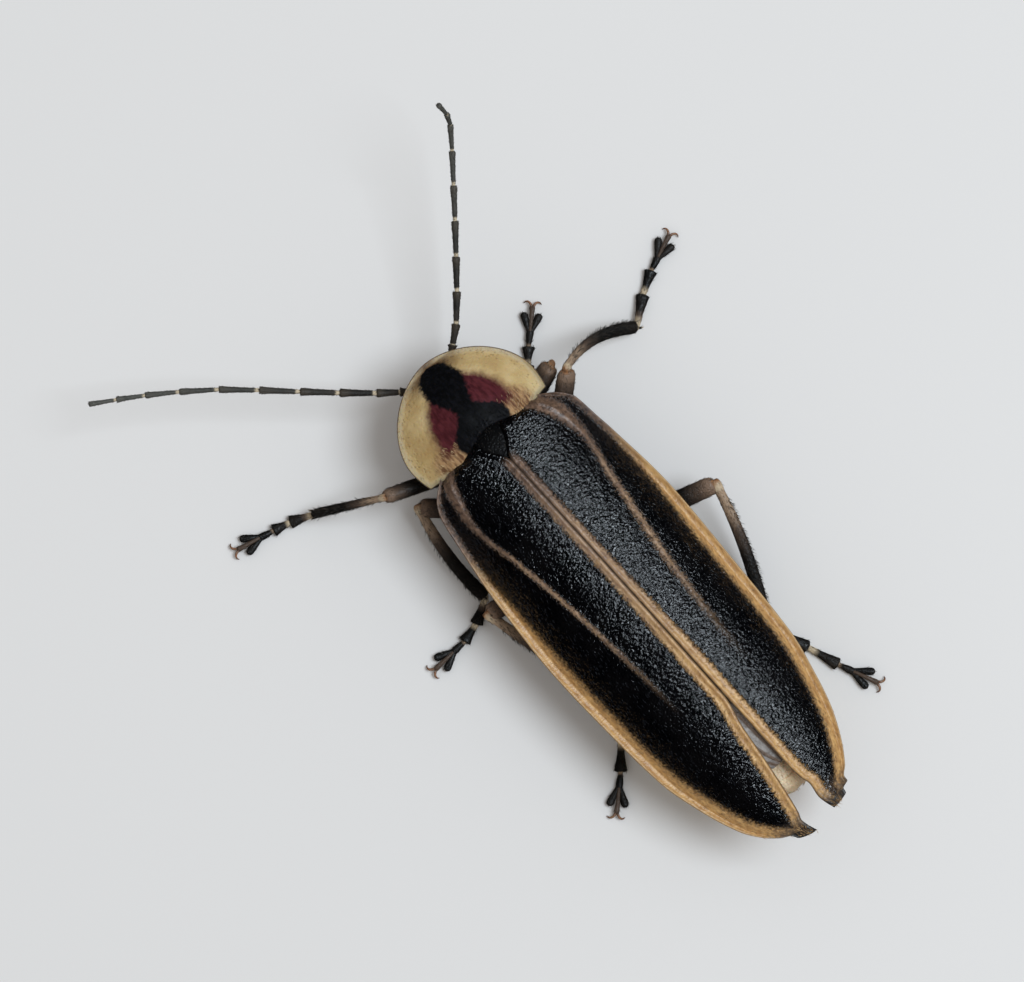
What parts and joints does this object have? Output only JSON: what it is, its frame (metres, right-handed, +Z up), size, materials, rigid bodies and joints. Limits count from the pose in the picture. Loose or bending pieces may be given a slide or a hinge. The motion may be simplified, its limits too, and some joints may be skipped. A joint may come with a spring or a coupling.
{
  "type": "firefly",
  "caption": "Life-size firefly with a round cream neck shield, long black wing cases with amber rims, feelers and legs, standing still.",
  "frame": {"origin": "on the floor, under the middle of the whole body's box", "axes": "+X towards the beetle's left side, +Y from head to tail, +Z up"},
  "size_m": [0.014, 0.0198, 0.0045],
  "materials": {
    "neck_shield": "satin, translucent cream horn",
    "wing_case": "finely grained black with tan seams and amber rims",
    "wing_membrane": "smoky, wrinkled membrane",
    "body_shell": "dark brown, finely haired",
    "lantern": "waxy pale yellow",
    "eye": "glossy black with fine facets",
    "leg": "dark brown with pale knees",
    "foot": "black, with cream joints",
    "feeler": "dark grey brown with cream rings"
  },
  "bodies": {
    "root": {"abdomen": "body_shell", "abdomen_tip": "body_shell", "antenna_left_scape": "feeler", "antenna_left_whip": "feeler", "antenna_right_scape": "feeler", "antenna_right_whip": "feeler", "elytron_left": "wing_case", "elytron_right": "wing_case", "eye_left": "eye", "eye_right": "eye", "head": "body_shell", "hindwing_left": "wing_membrane", "hindwing_right": "wing_membrane", "lantern": "lantern", "leg_fore_left_coxa": "body_shell", "leg_fore_left_femur": "leg", "leg_fore_left_tarsus": "foot", "leg_fore_left_tibia": "leg", "leg_fore_right_coxa": "body_shell", "leg_fore_right_femur": "leg", "leg_fore_right_tarsus": "foot", "leg_fore_right_tibia": "leg", "leg_hind_left_coxa": "body_shell", "leg_hind_left_femur": "leg", "leg_hind_left_tarsus": "foot", "leg_hind_left_tibia": "leg", "leg_hind_right_coxa": "body_shell", "leg_hind_right_femur": "leg", "leg_hind_right_tarsus": "foot", "leg_hind_right_tibia": "leg", "leg_mid_left_coxa": "body_shell", "leg_mid_left_femur": "leg", "leg_mid_left_tarsus": "foot", "leg_mid_left_tibia": "leg", "leg_mid_right_coxa": "body_shell", "leg_mid_right_femur": "leg", "leg_mid_right_tarsus": "foot", "leg_mid_right_tibia": "leg", "mandible_left": "body_shell", "mandible_right": "body_shell", "palp_left": "body_shell", "palp_right": "body_shell", "pronotum": "neck_shield", "prothorax": "body_shell", "scutellum": "body_shell", "thorax": "body_shell"}
  },
  "joints": []
}
